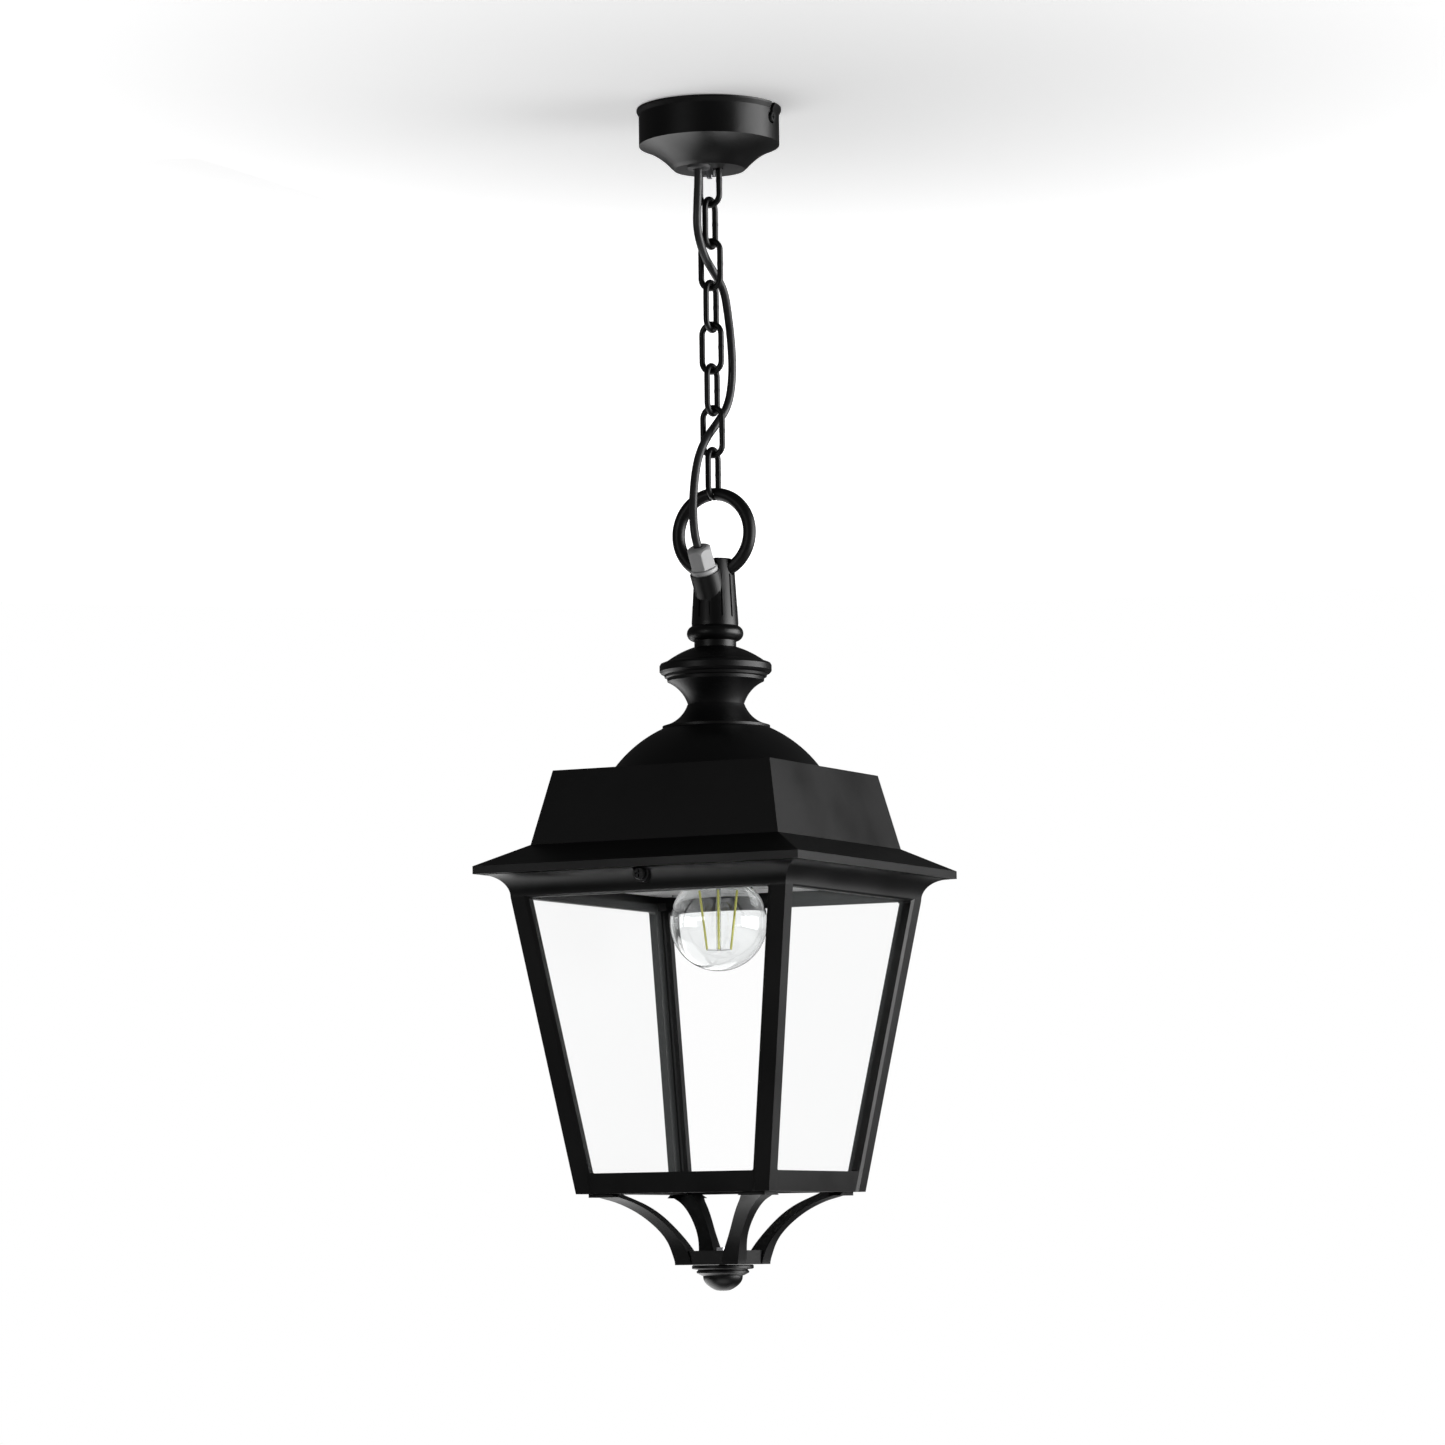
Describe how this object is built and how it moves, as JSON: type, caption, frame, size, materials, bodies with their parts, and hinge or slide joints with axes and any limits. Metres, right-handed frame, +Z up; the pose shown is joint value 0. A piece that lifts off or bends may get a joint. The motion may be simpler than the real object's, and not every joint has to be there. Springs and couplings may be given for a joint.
{
  "type": "hanging lantern",
  "caption": "Square tapered glazed lantern with a stepped cast roof, turned neck and arched bottom bracket, hung by a ring and chain from a ceiling rose.",
  "frame": {"origin": "on the ceiling, on the axis of the rose, chain and lantern", "axes": "+Z up; -Y is the side of the cable gland and the latch screw; the cage hinge runs along X on the +Y side"},
  "size_m": [0.2944, 0.2944, 0.9778],
  "materials": {
    "black": "satin black powder coat on cast aluminium",
    "chain": "black coated steel wire",
    "zinc": "zinc plated",
    "brass": "plain brass",
    "grommet": "soft grey rubber",
    "terminal": "moulded white",
    "core": "smooth insulated wire",
    "cable": "smooth dark sheath",
    "gland": "light grey nylon",
    "seal": "black rubber",
    "porcelain": "glazed white",
    "reflector": "bright rolled sheet",
    "bulb_glass": "clear",
    "cap_metal": "nickel plated",
    "stem_glass": "cloudy clear",
    "filament": "unlit phosphor coating",
    "pane": "clear flat"
  },
  "bodies": {
    "rose": {"ceiling_bracket": "zinc", "rose_cover": "black", "rose_side_screws": "black", "hanger_bar": "zinc", "hanger_stud": "zinc", "hanger_washer": "zinc", "hanger_nut": "zinc", "cable_grommet": "grommet", "terminal_block": "terminal", "terminal_screws": "brass", "rose_cores": "core", "supply_cable": "cable"},
    "link_1": {"chain_link_1": "chain"},
    "link_2": {"chain_link_2": "chain"},
    "link_3": {"chain_link_3": "chain"},
    "link_4": {"chain_link_4": "chain"},
    "link_5": {"chain_link_5": "chain"},
    "link_6": {"chain_link_6": "chain"},
    "link_7": {"chain_link_7": "chain"},
    "link_8": {"chain_link_8": "chain"},
    "ring": {"ring": "black"},
    "lantern": {"neck": "black", "neck_screw": "zinc", "gland_body": "gland", "gland_seal": "seal", "lamp_cores": "core", "knob": "black", "collar": "black", "dome": "black", "tie_tube": "zinc", "tie_washer": "zinc", "tie_nut": "zinc", "roof": "black", "lampholder": "porcelain", "lampholder_contact": "brass", "reflector": "reflector", "reflector_screws": "zinc", "hinge_pins": "zinc"},
    "gland_nut": {"gland_nut": "gland"},
    "bulb": {"bulb_glass": "bulb_glass", "bulb_cap": "cap_metal", "bulb_stem": "stem_glass", "filaments": "filament", "support_wires": "zinc"},
    "cage": {"cage_frame": "black", "pane_left": "pane", "pane_right": "pane", "pane_back_left": "pane", "pane_back_right": "pane", "pane_bottom": "pane", "pane_clips": "black", "bottom_bracket": "black", "bracket_screws": "zinc", "finial_stud": "zinc", "finial_nut": "zinc"},
    "latch": {"latch_screw": "black", "latch_nut": "zinc"},
    "finial": {"finial": "black"}
  },
  "joints": [
    {"name": "chain_top_swing", "type": "hinge", "parent": "rose", "child": "link_1", "pos_m": [0, 0, -0.05005], "axis": [0, 1, 0], "range_deg": [-10, 10], "deforming": ["supply_cable"]},
    {"name": "chain_swing_1", "type": "hinge", "parent": "link_1", "child": "link_2", "pos_m": [0, 0, -0.0812], "axis": [1, 0, 0], "range_deg": [-20, 20]},
    {"name": "chain_swing_2", "type": "hinge", "parent": "link_2", "child": "link_3", "pos_m": [0, 0, -0.1162], "axis": [0, 1, 0], "range_deg": [-20, 20]},
    {"name": "chain_swing_3", "type": "hinge", "parent": "link_3", "child": "link_4", "pos_m": [0, 0, -0.1512], "axis": [1, 0, 0], "range_deg": [-20, 20]},
    {"name": "chain_swing_4", "type": "hinge", "parent": "link_4", "child": "link_5", "pos_m": [0, 0, -0.1862], "axis": [0, 1, 0], "range_deg": [-20, 20]},
    {"name": "chain_swing_5", "type": "hinge", "parent": "link_5", "child": "link_6", "pos_m": [0, 0, -0.2212], "axis": [1, 0, 0], "range_deg": [-20, 20]},
    {"name": "chain_swing_6", "type": "hinge", "parent": "link_6", "child": "link_7", "pos_m": [0, 0, -0.2562], "axis": [0, 1, 0], "range_deg": [-20, 20]},
    {"name": "chain_swing_7", "type": "hinge", "parent": "link_7", "child": "link_8", "pos_m": [0, 0, -0.2912], "axis": [1, 0, 0], "range_deg": [-20, 20]},
    {"name": "ring_swing", "type": "hinge", "parent": "link_8", "child": "ring", "pos_m": [0, 0, -0.3262], "axis": [0, 1, 0], "range_deg": [-15, 15]},
    {"name": "lantern_swing", "type": "hinge", "parent": "ring", "child": "lantern", "pos_m": [0, 0, -0.3895], "axis": [1, 0, 0], "range_deg": [-8, 8]},
    {"name": "gland_nut_turn", "type": "hinge", "parent": "lantern", "child": "gland_nut", "pos_m": [0, -0.0283, -0.3704], "axis": [0, -0.5, 0.866], "continuous": true},
    {"name": "bulb_turn", "type": "hinge", "parent": "lantern", "child": "bulb", "pos_m": [0, 0, -0.6], "axis": [0, 0, 1], "continuous": true},
    {"name": "cage_open", "type": "hinge", "parent": "lantern", "child": "cage", "pos_m": [0, 0.1415, -0.6457], "axis": [1, 0, 0], "range_deg": [0, 75]},
    {"name": "latch_turn", "type": "hinge", "parent": "cage", "child": "latch", "pos_m": [0, -0.134, -0.645], "axis": [0, 1, 0], "continuous": true},
    {"name": "finial_turn", "type": "hinge", "parent": "cage", "child": "finial", "pos_m": [0, 0, -0.96], "axis": [0, 0, 1], "continuous": true}
  ]
}
